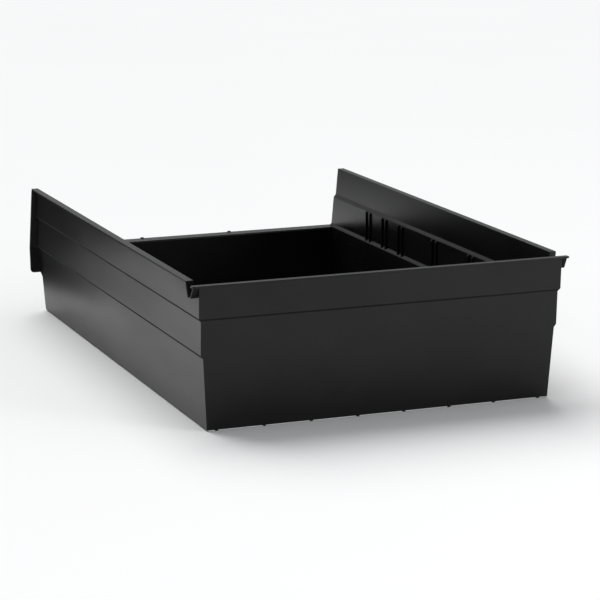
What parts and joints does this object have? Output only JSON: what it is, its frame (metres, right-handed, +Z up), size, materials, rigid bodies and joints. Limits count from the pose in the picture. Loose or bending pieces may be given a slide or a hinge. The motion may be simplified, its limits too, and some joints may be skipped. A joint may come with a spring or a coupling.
{
  "type": "shelf bin",
  "caption": "Nestable open-top shelf bin: stepped drafted tub with outward rims, a lipped front, a low back with a hang ledge, and wall slots for cross dividers.",
  "frame": {"origin": "middle of the bounding box, on the plane of the runners' undersides", "axes": "+Z up, +Y towards the low back with the hang ledge, +X to the right seen from the front"},
  "size_m": [0.2826, 0.454, 0.105],
  "materials": {
    "moulding": "satin moulded polypropylene"
  },
  "bodies": {
    "root": {"floor_panel": "moulding", "floor_runners": "moulding", "front_wall": "moulding", "back_wall": "moulding", "left_side_wall": "moulding", "right_side_wall": "moulding", "front_lip": "moulding", "left_rim": "moulding", "right_rim": "moulding", "back_hang_ledge": "moulding", "left_rear_ear": "moulding", "right_rear_ear": "moulding", "left_divider_guides": "moulding", "right_divider_guides": "moulding"}
  },
  "joints": []
}
